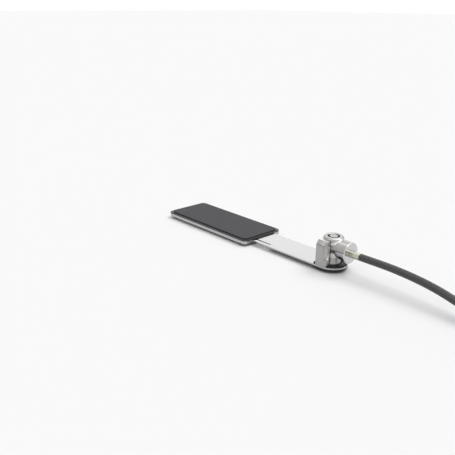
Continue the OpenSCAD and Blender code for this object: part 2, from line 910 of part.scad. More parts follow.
// Two barrels side by side, squeezed round the two legs of the loop
module loop_crimp() {
    color("silver")
    translate([tail_x1, hank_y, crimp_z])
    rotate([90, 0, 90])
    linear_extrude(crimp_l) {
        for (y = [-leg_y, leg_y]) translate([y, 0]) circle(r = crimp_r);
        translate([-leg_y, -crimp_r]) square([2 * leg_y, 2 * crimp_r]);
    }
}

// ---------- what the cable measures ----------

function path_length(path) =
    let (steps = [for (i = [1 : len(path) - 1]) norm(path[i] - path[i - 1])])
    steps * [for (step = steps) 1];
rings_apart = 12;
hank_gaps = [
    for (i = [0 : len(hank_path) - 1 - rings_apart])
        for (j = [i + rings_apart : len(hank_path) - 1])
            norm(hank_path[i] - hank_path[j]) - cable_d
];
echo(least_gap_in_hank = min(hank_gaps));
echo(cable_to_crimp = path_length(run_route) + path_length(hank_path) + path_length(tail_route));
echo(end_loop = path_length(loop_route));

housing_tray();
channel_frame();
housing_cover();
adhesive_pad();
rubber_feet();
housing_rivets();
guide_pin();
friction_leaf();
blade();
top_pad();
under_pad();
lock_body();
arm_cap();
cylinder_case();
case_pin();
post_dowel();
driver_block();
driver_pins();
pin_springs();
key_plug();
key_post();
key_pins();
spindle();
spindle_clip();
t_bar();
swivel_sleeve();
ferrule();
cable_run();
cable_hank();
hank_straps();
cable_tail();
loop_crimp();
end_loop();
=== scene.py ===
# %% [markdown]
# # Dressing a laptop cable lock
#
# The solids of the lock come from its CAD model: a flat housing, a steel blade that slides
# out of it, and a lock head with a steel cable. This file gives them their surfaces, adds
# what is too fine or too soft for CAD, and sets up the floor, the light and the camera.
#
# Every new piece is one sheet of quads: a table of points, worked out with a formula for
# whole rows at a time, and joined up by arithmetic on their numbers.

# %% load the solids
import math

import bmesh
import bpy
import numpy as np
from mathutils import Matrix


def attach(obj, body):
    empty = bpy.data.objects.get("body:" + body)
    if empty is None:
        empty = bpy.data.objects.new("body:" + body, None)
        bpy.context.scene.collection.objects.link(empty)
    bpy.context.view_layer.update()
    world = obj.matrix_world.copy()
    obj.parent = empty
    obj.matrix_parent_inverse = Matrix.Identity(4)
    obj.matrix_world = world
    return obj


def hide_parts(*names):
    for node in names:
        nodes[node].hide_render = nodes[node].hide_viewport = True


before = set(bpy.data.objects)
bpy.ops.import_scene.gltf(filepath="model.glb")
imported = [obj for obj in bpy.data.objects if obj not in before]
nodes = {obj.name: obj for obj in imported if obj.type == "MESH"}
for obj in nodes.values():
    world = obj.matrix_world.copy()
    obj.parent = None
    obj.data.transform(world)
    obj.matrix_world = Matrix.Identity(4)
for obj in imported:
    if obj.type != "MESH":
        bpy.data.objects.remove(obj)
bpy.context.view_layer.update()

# %% [markdown]
# ## Sizes
#
# Blender works in metres, and so do these sizes. They are the ones that the solids were made
# with, written in millimetres times one thousandth.

# %% sizes
MM = 0.001

LOCK_X = 60.4 * MM          # the lock's upright axis
BLADE_TOP = 3.5 * MM        # the level that the lock head stands on
CABLE_Z = 13.1 * MM         # the axis of ferrule and cable
TIP_X = 80.6 * MM           # where the cable leaves the ferrule

CABLE_D = 4.5 * MM
CABLE_R = CABLE_D / 2
TURN_STEP = 5 * MM
HANK_RUN = 92 * MM          # the straight part of a half loop
HANK_R = 13.5 * MM          # the smallest radius of a fold
HANK_LOOPS = 4
HANK_X = TIP_X + 163 * MM
HANK_X0 = HANK_X - HANK_RUN / 2
HANK_Y = 5 * MM
RUN_SHARE = HANK_RUN / (HANK_RUN + math.pi * (HANK_R + TURN_STEP / 2))
STRAP_T = 0.6 * MM
STRAP_W = 8 * MM
LAYER_Z = STRAP_T + CABLE_R
TOP_Z = LAYER_Z + TURN_STEP * (HANK_LOOPS - 1)
PILE_TOP = TOP_Z + CABLE_R
TAIL_L = 50 * MM
CRIMP_L = 14 * MM
CRIMP_R = CABLE_R + 0.8 * MM
CRIMP_Z = PILE_TOP + STRAP_T + CRIMP_R
LEG_Y = CABLE_R + 0.2 * MM
print("hank from %.1f to %.1f mm" % (HANK_X0 / MM, (HANK_X0 + HANK_RUN) / MM))

# %% [markdown]
# ## Camera
#
# The camera stands in front of the lock, a little to the right and above it. Its place and
# the three directions of its own axes are given as they are, so nothing has to be aimed.

# %% camera
CAMERA_AT = (LOCK_X + 218.985 * MM, -284.230 * MM, 151.580 * MM)
CAMERA_RIGHT = (0.66930, 0.74294, 0.00805)
CAMERA_UP = (-0.25517, 0.21967, 0.94161)
CAMERA_BACK = (0.69780, -0.63228, 0.33660)
CAMERA_LENS = 49.9          # on a picture 36 wide, both in millimetres
CAMERA_WIDTH = 36

camera_data = bpy.data.cameras.new("camera")
camera_data.sensor_width = CAMERA_WIDTH
camera_data.lens = CAMERA_LENS
camera_data.clip_start = 10 * MM
camera_data.clip_end = 20
camera = bpy.data.objects.new("camera", camera_data)
turned = Matrix((CAMERA_RIGHT, CAMERA_UP, CAMERA_BACK)).transposed().to_4x4()
camera.matrix_world = Matrix.Translation(CAMERA_AT) @ turned
bpy.context.collection.objects.link(camera)
bpy.context.scene.camera = camera
print("camera", [round(c, 3) for c in camera.location], "lens", camera_data.lens, "mm")

# %% [markdown]
# ## Sheets of quads
#
# `sheet` turns a table of points into a mesh. Quad *i, j* joins points *i, j*, *i+1, j*,
# *i+1, j+1* and *i, j+1*, so all quads come from one sum on two ranges of numbers. A table
# that closes on itself wraps round to its first row or column. Points that fall together,
# as at a pole, are welded afterwards.

# %% sheets of quads
def sheet(name, table, wrap_rows=False, wrap_columns=False, along=None, across=None):
    """A mesh object through table[i, j], whose quads join neighbours in both directions.

    along and across give each row and column its texture coordinate, with one more value
    than points where the sheet wraps."""
    rows, columns = table.shape[:2]
    i = np.arange(rows if wrap_rows else rows - 1)[:, None]
    j = np.arange(columns if wrap_columns else columns - 1)[None, :]
    next_i = (i + 1) % rows
    next_j = (j + 1) % columns
    corners = [(i, j), (next_i, j), (next_i, next_j), (i, next_j)]
    numbers = [row * columns + column for row, column in corners]
    quads = np.stack(np.broadcast_arrays(*numbers), axis=-1).reshape(-1, 4)
    mesh = bpy.data.meshes.new(name)
    mesh.vertices.add(rows * columns)
    mesh.vertices.foreach_set("co", table.reshape(-1).astype(np.float32))
    mesh.loops.add(quads.size)
    mesh.loops.foreach_set("vertex_index", quads.reshape(-1).astype(np.int32))
    mesh.polygons.add(len(quads))
    mesh.polygons.foreach_set("loop_start", np.arange(0, quads.size, 4, dtype=np.int32))
    mesh.update(calc_edges=True)
    if along is not None:
        u0, u1 = along[i], along[i + 1]
        v0, v1 = across[j], across[j + 1]
        spots = [(u0, v0), (u1, v0), (u1, v1), (u0, v1)]
        spots = [np.stack(np.broadcast_arrays(u, v), axis=-1).reshape(-1, 1, 2) for u, v in spots]
        layer = mesh.uv_layers.new(name="lie")
        layer.data.foreach_set("uv", np.concatenate(spots, axis=1).reshape(-1).astype(np.float32))
    mesh.polygons.foreach_set("use_smooth", np.ones(len(quads), dtype=bool))
    weld(mesh)
    made = bpy.data.objects.new(name, mesh)
    bpy.context.collection.objects.link(made)
    return made


def weld(mesh, reach=1e-7):
    """Joins points of a mesh that lie within reach of each other, and turns its faces outward."""
    bm = bmesh.new()
    bm.from_mesh(mesh)
    bmesh.ops.remove_doubles(bm, verts=bm.verts, dist=reach)
    bmesh.ops.recalc_face_normals(bm, faces=bm.faces)
    bm.to_mesh(mesh)
    bm.free()


def lengths(line):
    """Distance along a line of points, from its first point to each of them."""
    steps = np.linalg.norm(np.diff(line, axis=0), axis=1)
    return np.concatenate([[0], np.cumsum(steps)])


print("sheets ready")

# %% [markdown]
# ## Lines that a cable follows
#
# A bevelled curve could make a cable. Rings worked out here also give it a map for its braid,
# and its length. A cable is drawn with few points, and `smooth_through` puts a soft curve
# through them. `tube` then lays rings round the line. Each ring is square to the line's
# heading *h*. Its two axes are *a*, level and square to *h*, and *b = h × a*. The ring's points
# are *p + r (cos t · a + sin t · b)*, and a last ring of radius zero closes each end.

# %% lines and tubes
def smooth_through(points, samples=10):
    """The Catmull-Rom curve through points. From p1 to p2, with t from 0 to 1, it is half of
    2 p1 + (p2 - p0) t + (2 p0 - 5 p1 + 4 p2 - p3) t^2 + (3 p1 - p0 - 3 p2 + p3) t^3."""
    points = np.asarray(points, float)
    padded = np.concatenate([[2 * points[0] - points[1]], points, [2 * points[-1] - points[-2]]])
    p0, p1, p2, p3 = (padded[k : len(padded) - 3 + k, None, :] for k in range(4))
    t = np.linspace(0, 1, samples, endpoint=False)[None, :, None]
    curve = 2 * p1 + (p2 - p0) * t + (2 * p0 - 5 * p1 + 4 * p2 - p3) * t**2
    curve = 0.5 * (curve + (3 * p1 - p0 - 3 * p2 + p3) * t**3)
    return np.concatenate([curve.reshape(-1, 3), points[-1:]])


def unit(vectors):
    """Vectors of length one, with the headings of those given."""
    return vectors / np.linalg.norm(vectors, axis=-1, keepdims=True)


def tube(name, line, radius, sides=20):
    """A closed round tube along a line of points. The ring round a point p of the line is
    p + radius (cos t aside + sin t above), with t from 0 to a full turn."""
    heading = unit(np.gradient(line, axis=0))
    aside = unit(np.cross([0.0, 0.0, 1.0], heading))
    above = np.cross(heading, aside)
    angle = np.linspace(0, 2 * np.pi, sides, endpoint=False)[None, :, None]
    round_it = np.cos(angle) * aside[:, None, :] + np.sin(angle) * above[:, None, :]
    rings = line[:, None, :] + radius * round_it
    start = np.repeat(line[:1, None, :], sides, axis=1)
    finish = np.repeat(line[-1:, None, :], sides, axis=1)
    table = np.concatenate([start, rings, finish])
    run = lengths(line)
    along = np.concatenate([[-radius], run, [run[-1] + radius]])
    across = np.linspace(0, 1, sides + 1)
    return sheet(name, table, wrap_columns=True, along=along, across=across)


print("lines and tubes ready")

# %% [markdown]
# ## The cable
#
# The cable leaves the ferrule level, sinks under its own weight and lands on the desk. What
# is left of it is folded into a hank of four layers. One loop of the hank is a straight run,
# a half-round fold, a run back and another fold. Over one loop the radius *r* moves in by
# one step, over the next it moves out again, and while it turns round the cable climbs to
# the next layer along a run.

# %% the way that the cable takes
RUN_WAY = np.array([
    [0, 0, 1],
    [4.5, 0, 1],
    [13, 0, 1],
    [21, -0.1, 0.995],
    [29, -0.5, 0.975],
    [37, -0.9, 0.93],
    [45, -1.5, 0.865],
    [53, -2.2, 0.765],
    [60, -3, 0.65],
    [68, -4.1, 0.51],
    [76, -5.5, 0.345],
    [84, -7.8, 0.2],
    [91, -10.2, 0.09],
    [97, -12.2, 0.02],
    [102.5, -13.6, 0],
])
entry_y = HANK_Y - HANK_R - TURN_STEP * (1 + RUN_SHARE / 4)
run_end_x = HANK_X0 - CABLE_D
run_points = np.stack(
    [
        TIP_X + RUN_WAY[:, 0] * MM,
        RUN_WAY[:, 1] * MM,
        LAYER_Z + RUN_WAY[:, 2] * (CABLE_Z - LAYER_Z),
    ],
    axis=1,
)
run_points = np.concatenate(
    [run_points, [[run_end_x - CABLE_D, entry_y, LAYER_Z], [run_end_x, entry_y, LAYER_Z]]]
)


def hank_line(samples=48):
    """Centre of the hank after v half loops, v = 0 ... 2 * HANK_LOOPS. On a run, x goes from
    -HANK_RUN / 2 to HANK_RUN / 2 and y = -r. In a fold by an angle f, x = HANK_RUN / 2 + r sin f
    and y = -r cos f. Every second half loop has both signs turned."""
    v = np.linspace(0, 2 * HANK_LOOPS, 2 * HANK_LOOPS * samples + 1)
    half_loops = np.floor(v)
    way = v - half_loops
    back = half_loops % 2 == 1
    side = np.where(back, -1.0, 1.0)
    along_run = np.minimum(way / RUN_SHARE, 1)
    fold = np.pi * np.maximum(way - RUN_SHARE, 0) / (1 - RUN_SHARE)
    r = HANK_R + TURN_STEP * np.abs(1 - np.fmod((v - RUN_SHARE / 2) / 2, 2))
    x = side * ((along_run - 0.5) * HANK_RUN + r * np.sin(fold))
    y = -side * r * np.cos(fold)
    climb = np.where(back, 1, (1 - np.cos(np.pi * along_run)) / 2)
    layer = np.where(v < 2, 0, np.floor(v / 2) - 1 + climb)
    return np.stack([HANK_X + x, HANK_Y + y, LAYER_Z + TURN_STEP * layer], axis=1)


TAIL_WAY = np.array([
    [4.5, 0],
    [9, 0],
    [13.5, 0.01],
    [19, 0.1],
    [24, 0.28],
    [28.5, 0.5],
    [33, 0.72],
    [38, 0.9],
    [45.5, 1],
    [50, 1],
])
tail_y0 = HANK_Y - HANK_R - TURN_STEP * (1 - RUN_SHARE / 4)
tail_y1 = HANK_Y - LEG_Y
tail_points = np.stack(
    [
        HANK_X0 + TAIL_WAY[:, 0] * MM,
        tail_y0 + TAIL_WAY[:, 1] * (tail_y1 - tail_y0),
        TOP_Z + TAIL_WAY[:, 1] * (CRIMP_Z - TOP_Z),
    ],
    axis=1,
)
cable_line = np.concatenate(
    [smooth_through(run_points, 8), hank_line(), smooth_through(tail_points, 6)]
)
cable_length = lengths(cable_line)[-1]
print("cable: %.3f m along %d points" % (cable_length, len(cable_line)))

# %% the cable itself
cable = tube("steel_cable", cable_line, CABLE_R)
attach(cable, "blade")
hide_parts("cable_run", "cable_hank", "cable_tail")
print("cable:", len(cable.data.polygons), "faces")

# %% the end loop
LOOP_Z = PILE_TOP + CABLE_R
HALF_LOOP = np.array([
    [0, LEG_Y / MM, CRIMP_Z / MM],
    [4.5, LEG_Y / MM, CRIMP_Z / MM],
    [10, 4.2, LOOP_Z / MM + 0.8],
    [16.5, 8, LOOP_Z / MM + 0.2],
    [23, 11.8, LOOP_Z / MM],
    [30, 13.8, LOOP_Z / MM],
    [37, 12.4, LOOP_Z / MM],
    [42, 7.8, LOOP_Z / MM],
    [44, 0, LOOP_Z / MM],
])
CRIMP_X = HANK_X0 + TAIL_L
LOOP_X = CRIMP_X + CRIMP_L
first_half = HALF_LOOP * [1, -1, 1]
other_half = HALF_LOOP[-2::-1]
loop_points = np.concatenate([first_half, other_half]) * MM + [LOOP_X, HANK_Y, 0]
loop_line = smooth_through(loop_points, 8)
loop_length = lengths(loop_line)[-1]
end_loop = tube("end_loop_cable", loop_line, CABLE_R)
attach(end_loop, "blade")
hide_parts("end_loop")
print("end loop: %.3f m" % loop_length)

# %% [markdown]
# ## What sits on the cable
#
# Two straps of hook-and-loop tape tie the hank. A flat strip with a Solidify modifier would
# have hard edges, so a strap is a thin, soft-edged section that is carried round an outline
# with rounded corners. The crimp is a stadium-shaped section carried along the two legs of the
# loop, drawn in where the press closed it.

# %% straps
STRAP_CORNER_R = 1.2 * MM
NO_CUT = 0.01 * MM          # a cut so small that the corner stays as it is


def round_corners(corners, radius, points=10):
    """Points and outward directions round a polygon, given counterclockwise. A corner that
    turns by an angle k becomes an arc of this radius, whose ends lie radius * tan(k / 2)
    before and behind the corner."""
    corners = np.asarray(corners, float)
    before = unit(corners - np.roll(corners, 1, axis=0))
    after = unit(np.roll(corners, -1, axis=0) - corners)
    sine = before[:, 0] * after[:, 1] - before[:, 1] * after[:, 0]
    turn = np.arctan2(sine, (before * after).sum(axis=1))
    normal = np.stack([before[:, 1], -before[:, 0]], axis=1)
    start = corners - before * (radius * np.tan(turn / 2))[:, None]
    middle = start - normal * radius
    first_angle = np.arctan2(normal[:, 1], normal[:, 0])[:, None]
    angle = first_angle + turn[:, None] * np.linspace(0, 1, points)
    out = np.stack([np.cos(angle), np.sin(angle)], axis=-1)
    return (middle[:, None, :] + radius * out).reshape(-1, 2), out.reshape(-1, 2)


def strap(name, x0, near, far, cut):
    """A band round the hank, whose upper near corner is cut off by this much. The point at t
    round the outline and s round the section is
    inside(t) + (T/2 + h(s)) out(t), x0 + W/2 + w(s), with |w / (W/2)|^8 + |h / (T/2)|^4 = 1."""
    corners = [
        (near, STRAP_T),
        (far, STRAP_T),
        (far, PILE_TOP),
        (near + cut, PILE_TOP),
        (near, PILE_TOP - cut),
    ]
    inside, out = round_corners(corners, STRAP_CORNER_R)
    s = np.linspace(0, 2 * np.pi, 32, endpoint=False)
    w = STRAP_W / 2 * np.sign(np.cos(s)) * np.abs(np.cos(s)) ** 0.25
    h = STRAP_T / 2 * np.sign(np.sin(s)) * np.abs(np.sin(s)) ** 0.5
    lifted = inside[:, None, :] + (STRAP_T / 2 + h)[None, :, None] * out[:, None, :]
    x = np.broadcast_to(x0 + STRAP_W / 2 + w, lifted.shape[:2])
    table = np.stack([x, HANK_Y + lifted[..., 0], lifted[..., 1]], axis=-1)
    round_it = lengths(np.concatenate([inside, inside[:1]]))
    over = np.linspace(0, 2 * STRAP_W, len(s) + 1)
    return sheet(name, table, wrap_rows=True, wrap_columns=True, along=round_it, across=over)


drift = TURN_STEP * RUN_SHARE / 4
outer_r = HANK_R + TURN_STEP
far_r = HANK_R + TURN_STEP / 2
end_strap = strap(
    "end_strap", HANK_X0, -outer_r - drift - CABLE_R, far_r + drift + CABLE_R, NO_CUT
)
middle_strap = strap(
    "middle_strap",
    CRIMP_X + (CRIMP_L - STRAP_W) / 2,
    -outer_r - CABLE_R,
    far_r + drift / 2 + CABLE_R,
    TURN_STEP,
)
for made in (end_strap, middle_strap):
    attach(made, "blade")
    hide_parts("hank_straps")
print("straps:", end_strap.name, middle_strap.name)

# %% crimp
GROOVES = 3
GROOVES_FROM = 0.14         # where they begin, as a share of the crimp's length
GROOVES_OVER = 0.72         # how much of its length they take up
GROOVE_DEPTH = 0.45 * MM
CRIMP_EDGE_R = 0.5 * MM


def pressed_crimp(name, points=48, rows=57):
    """A stadium section with the radius r(x) round two centres, LEG_Y to each side of the
    middle. Soft grooves and two rounded ends are taken off r."""
    turn = np.linspace(0, 2 * np.pi, points, endpoint=False) + np.pi / points
    side = np.sign(np.cos(turn))
    x = np.linspace(0, 1, rows)
    grooved = np.clip((x - GROOVES_FROM) / GROOVES_OVER, 0, 1)
    grooves = 0.5 - 0.5 * np.cos(2 * np.pi * GROOVES * grooved)
    short = np.maximum(CRIMP_EDGE_R - np.minimum(x, 1 - x) * CRIMP_L, 0)
    lip = CRIMP_EDGE_R - np.sqrt(np.maximum(CRIMP_EDGE_R**2 - short**2, 0))
    radius = CRIMP_R - GROOVE_DEPTH * grooves - lip
    y = HANK_Y + side * LEG_Y + radius[:, None] * np.cos(turn)
    z = CRIMP_Z + radius[:, None] * np.sin(turn)
    along = np.broadcast_to((CRIMP_X + x * CRIMP_L)[:, None], y.shape)
    rings = np.stack([along, y, z], axis=-1)
    first = np.broadcast_to([CRIMP_X, HANK_Y, CRIMP_Z], (1, points, 3))
    last = np.broadcast_to([CRIMP_X + CRIMP_L, HANK_Y, CRIMP_Z], (1, points, 3))
    return sheet(name, np.concatenate([first, rings, last]), wrap_columns=True)


crimp = pressed_crimp("pressed_crimp")
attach(crimp, "blade")
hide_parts("loop_crimp")
print("crimp:", len(crimp.data.polygons), "faces")

# %% [markdown]
# ## Cords
#
# The cable is steel rope in a plastic jacket: it bends, but never sharply.

# %% cords
print("cords: the cable and the end loop")

# %% [markdown]
# ## Rolled edges
#
# No edge on the real lock is perfectly sharp: sheet metal is deburred, castings are tumbled
# and rubber is moulded with a small radius. A thin bright line along an edge comes from that
# radius. Each visible solid is therefore copied, its flat triangles are merged into whole
# faces, and a Bevel modifier rolls over every edge that is sharper than an angle. A Weighted
# Normal modifier then keeps the large faces flat in the light.

# %% rolled edges
def rolled(node, body, width, segments=3, sharper_than=32):
    """A copy of a solid with its sharp edges rolled over by this width."""
    mesh = nodes[node].data.copy()
    mesh.name = node + "_rolled"
    bm = bmesh.new()
    bm.from_mesh(mesh)
    bmesh.ops.remove_doubles(bm, verts=bm.verts, dist=1e-6)
    bmesh.ops.dissolve_limit(bm, angle_limit=math.radians(0.5), verts=bm.verts, edges=bm.edges)
    bm.to_mesh(mesh)
    bm.free()
    mesh.polygons.foreach_set("use_smooth", np.ones(len(mesh.polygons), dtype=bool))
    made = bpy.data.objects.new(node + "_rolled", mesh)
    bpy.context.collection.objects.link(made)
    bevel = made.modifiers.new("rolled edge", "BEVEL")
    bevel.width = width
    bevel.segments = segments
    bevel.limit_method = "ANGLE"
    bevel.angle_limit = math.radians(sharper_than)
    bevel.miter_outer = "MITER_ARC"
    flat = made.modifiers.new("flat faces", "WEIGHTED_NORMAL")
    flat.weight = 80
    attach(made, body)
    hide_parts(node)
    return made


ROLLED = [
    ("housing_tray", "housing", 0.15 * MM),
    ("channel_frame", "housing", 0.08 * MM),
    ("housing_cover", "housing", 0.2 * MM),
    ("adhesive_pad", "housing", 0.25 * MM),
    ("rubber_feet", "housing", 0.5 * MM),
    ("housing_rivets", "housing", 0.12 * MM),
    ("guide_pin", "housing", 0.1 * MM),
    ("blade", "blade", 0.1 * MM),
    ("top_pad", "blade", 0.25 * MM),
    ("under_pad", "blade", 0.25 * MM),
    ("lock_body", "blade", 0.22 * MM),
    ("arm_cap", "blade", 0.06 * MM),
    ("cylinder_case", "blade", 0.12 * MM),
    ("post_dowel", "blade", 0.04 * MM),
    ("key_post", "plug", 0.1 * MM),
    ("swivel_sleeve", "swivel", 0.2 * MM),
    ("ferrule", "swivel", 0.15 * MM),
]
rolled_pieces = {node: rolled(node, body, width) for node, body, width in ROLLED}
print("rolled:", ", ".join(rolled_pieces))

# %% [markdown]
# ## Fillet between arm and barrel
#
# Where the arm's half shell leaves the barrel, the casting has a soft fillet. A ball that
# rolls along the corner touches both cylinders, so its centre is one ball radius *q* outside
# each: with *B* the barrel's radius, *A* the arm's and *f* the direction round the barrel, it
# lies at *((B+q) cos f, (B+q) sin f, h + sqrt((A+q)² - ((B+q) sin f)²))*. The fillet is the
# arc of the ball between its two touching points. Near the arm's top there is less room
# under the barrel's bevel, so the ball is smaller there.

# %% fillet
BARREL_R = 6.2 * MM
ARM_R = 6.5 * MM
ARM_AXIS_Z = BLADE_TOP + 9.8 * MM
FILLET_R = 1.6 * MM
FILLET_TOP = 6.75 * MM      # how far over the arm's axis the ball's centre may lie
FILLET_LAP = 0.35 * MM
FILLET_SINK = 0.05 * MM
FILLET_ROOT = 0.5 * MM      # how deep the band's line inside the metal lies
FILLET_REACH = 82           # degrees round the barrel, to each side of the arm's top


def ball_radius(sine):
    """The root q of (A+q)^2 - (sine (B+q))^2 = FILLET_TOP^2 is the ball whose centre lies
    FILLET_TOP over the arm's axis. 1 / (1/q^3 + 1/FILLET_R^3)^(1/3) stays under that and under
    FILLET_R, with no kink between them."""
    square = 1 - sine**2
    linear = 2 * (ARM_R - BARREL_R * sine**2)
    rest = ARM_R**2 - (BARREL_R * sine) ** 2 - FILLET_TOP**2
    root = (-linear + np.sqrt(linear**2 - 4 * square * rest)) / (2 * square)
    return (root**-3 + FILLET_R**-3) ** (-1 / 3)


def arm_fillet(stations=140, arc=14):
    """A band: arcs on the rolling ball in front, and one line inside the metal behind. Beyond
    each touching line it runs on for FILLET_LAP and sinks by FILLET_SINK, so that neither long
    edge shows. A row that lies in one point closes the near end; the far end is left open."""
    f = np.radians(np.linspace(-FILLET_REACH, FILLET_REACH, stations))
    cosine, sine = np.cos(f), np.sin(f)
    q = ball_radius(sine)

    def on_corner(barrel_r, arm_r):
        """The line where two cylinders of these radii cross."""
        aside = barrel_r * sine
        return np.stack([barrel_r * cosine, aside, np.sqrt(arm_r**2 - aside**2)], axis=1)

    ball = on_corner(BARREL_R + q, ARM_R + q)
    to_barrel = -np.stack([cosine, sine, 0 * f], axis=1)
    to_arm = -unit(ball * (0, 1, 1))
    turn = np.arccos(np.clip((to_barrel * to_arm).sum(axis=1), -1, 1))[:, None, None]
    t = np.linspace(0, 1, arc)[None, :, None]
    swing = np.sin((1 - t) * turn) * to_barrel[:, None] + np.sin(t * turn) * to_arm[:, None]
    front = ball[:, None] + q[:, None, None] * swing / np.sin(turn)
    up = unit(front[:, 1:2] - front[:, :1])
    down = unit(front[:, -1:] - front[:, -2:-1])
    first = front[:, :1] - FILLET_LAP * up + FILLET_SINK * to_barrel[:, None]
    last = front[:, -1:] + FILLET_LAP * down + FILLET_SINK * to_arm[:, None]
    inside = on_corner(BARREL_R - FILLET_ROOT, ARM_R - FILLET_ROOT)[:, None]
    table = np.concatenate([first, front, last, inside], axis=1)
    start = np.repeat(table[:1].mean(axis=1, keepdims=True), table.shape[1], axis=1)
    table = np.concatenate([start, table]) + (LOCK_X, 0, ARM_AXIS_Z)
    made = sheet("arm_fillet", table, wrap_columns=True)
    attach(made, "blade")
    return made


fillet = arm_fillet()
print("fillet:", len(fillet.data.vertices), "points")

# %% [markdown]
# ## Shader maths
#
# A finish is a Principled shader whose colour, roughness and relief change a little over the
# surface. The changes come from expressions such as `0.2 + 0.1 * cloud`. `Field` stands for
# one such value: each operator on it adds a Math node, also with the number on the left.

# %% shader maths
def operator(operation, reflected=False):
    """A method that adds a Math node for this operation between a field and another value."""

    def joined(self, other):
        first, second = (other, self) if reflected else (self, other)
        return self.finish.node("ShaderNodeMath", {"operation": operation}, {0: first, 1: second})

    return joined


class Field:
    """One value in a finish's node tree."""

    __add__ = operator("ADD")
    __radd__ = operator("ADD", reflected=True)
    __sub__ = operator("SUBTRACT")
    __rsub__ = operator("SUBTRACT", reflected=True)
    __mul__ = operator("MULTIPLY")
    __rmul__ = operator("MULTIPLY", reflected=True)
    __truediv__ = operator("DIVIDE")
    __rtruediv__ = operator("DIVIDE", reflected=True)
    __pow__ = operator("POWER")
    __gt__ = operator("GREATER_THAN")
    __lt__ = operator("LESS_THAN")

    def __init__(self, finish, socket):
        self.finish = finish
        self.socket = socket


class Finish:
    """A material with one Principled shader. Constants go onto the shader's own sockets."""

    def __init__(self, name, colour, roughness, metallic=0.0, constants=None):
        self.material = bpy.data.materials.new(name)
        self.material.use_nodes = True
        self.tree = self.material.node_tree
        self.shader = self.tree.nodes["Principled BSDF"]
        self.shader.inputs["Base Color"].default_value = (*colour, 1)
        self.shader.inputs["Roughness"].default_value = roughness
        self.shader.inputs["Metallic"].default_value = metallic
        for socket, value in (constants or {}).items():
            self.shader.inputs[socket].default_value = value
        self.material.diffuse_color = (*colour, 1)

    def node(self, kind, settings=None, values=None, output=0):
        """Adds a node: first its settings, then a number or a link for each of its sockets."""
        made = self.tree.nodes.new(kind)
        for setting, value in (settings or {}).items():
            setattr(made, setting, value)
        for socket, value in (values or {}).items():
            if isinstance(value, Field):
                self.tree.links.new(value.socket, made.inputs[socket])
            else:
                made.inputs[socket].default_value = value
        return Field(self, made.outputs[output])

    def vary(self, socket, field):
        """Lets a field drive one of the shader's sockets."""
        self.tree.links.new(field.socket, self.shader.inputs[socket])

    def place(self, kind="Object"):
        """The place on the piece, in metres, or where it lies on its UV map."""
        return self.node("ShaderNodeTexCoord", output=kind)

    def stretched(self, vector, scale):
        """A vector with its X, Y and Z multiplied by those of scale."""
        return self.node("ShaderNodeVectorMath", {"operation": "MULTIPLY"}, {0: vector, 1: scale})

    def grain(self, size, stretch=(1, 1, 1), detail=2.0):
        """A soft random field from 0 to 1 with lumps of about this size, longer where stretch is
        over 1."""
        where = self.stretched(self.place(), tuple(1 / (size * s) for s in stretch))
        values = {"Vector": where, "Scale": 1.0, "Detail": detail}
        return self.node("ShaderNodeTexNoise", None, values)

    def parts(self, vector):
        """The X, Y and Z of a vector, as three fields."""
        split = self.node("ShaderNodeSeparateXYZ", None, {0: vector}).socket.node
        return [Field(self, split.outputs[axis]) for axis in "XYZ"]

    def off_line(self, point, across):
        """The distance from a line through this point. across is 0 for the way that the line
        runs, and 1 for the other two."""
        minus = tuple(-c for c in point)
        values = {0: self.place(), 1: minus}
        from_point = self.node("ShaderNodeVectorMath", {"operation": "ADD"}, values)
        flat = self.stretched(from_point, across)
        return self.node("ShaderNodeVectorMath", {"operation": "LENGTH"}, {0: flat}, "Value")

    def near(self, field, value, reach):
        """1 where the field is within reach of this value, 0 elsewhere."""
        return self.function("ABSOLUTE", field - value) < reach

    def painted_shade_line(self, field, value, inner, outer):
        """1 on a line where the field has this value, which fades from inner to outer."""
        return 1 - self.smooth_step(self.function("ABSOLUTE", field - value), inner, outer)

    def smooth_step(self, field, low, high):
        """0 where the field is under low, 1 over high, and smooth between."""
        values = {"Value": field, "From Min": low, "From Max": high}
        return self.node("ShaderNodeMapRange", {"interpolation_type": "SMOOTHSTEP"}, values)

    def function(self, operation, field):
        """A Math node that takes one value, such as SINE."""
        return self.node("ShaderNodeMath", {"operation": operation}, {0: field})

    def between(self, share, first, second):
        """A colour that goes from the first to the second with the share."""
        values = {0: share, 6: (*first, 1), 7: (*second, 1)}
        return self.node("ShaderNodeMix", {"data_type": "RGBA"}, values, output=2)

    def relief(self, height, depth):
        """Bends the light as a relief would that is this deep where height is 1."""
        bump = self.node("ShaderNodeBump", None, {"Height": height, "Distance": depth})
        self.vary("Normal", bump)


print("shader maths ready")

# %% [markdown]
# ## Metals
#
# Bare and plated metal has no colour of its own beyond a tint; what tells one finish from
# another is how rough it is and which way its marks run. Tumbled and plated castings have
# fine lumps with no direction; the fillet's paler colour is a painted highlight. Rolled and
# brushed steel has streaks along one axis. Turned parts have rings round their axis.

# %% plated castings
AROUND_Z = (1, 1, 0)
AROUND_X = (0, 1, 1)
lock_axis = (LOCK_X, 0, 0)
arm_axis = (0, 0, ARM_AXIS_Z)

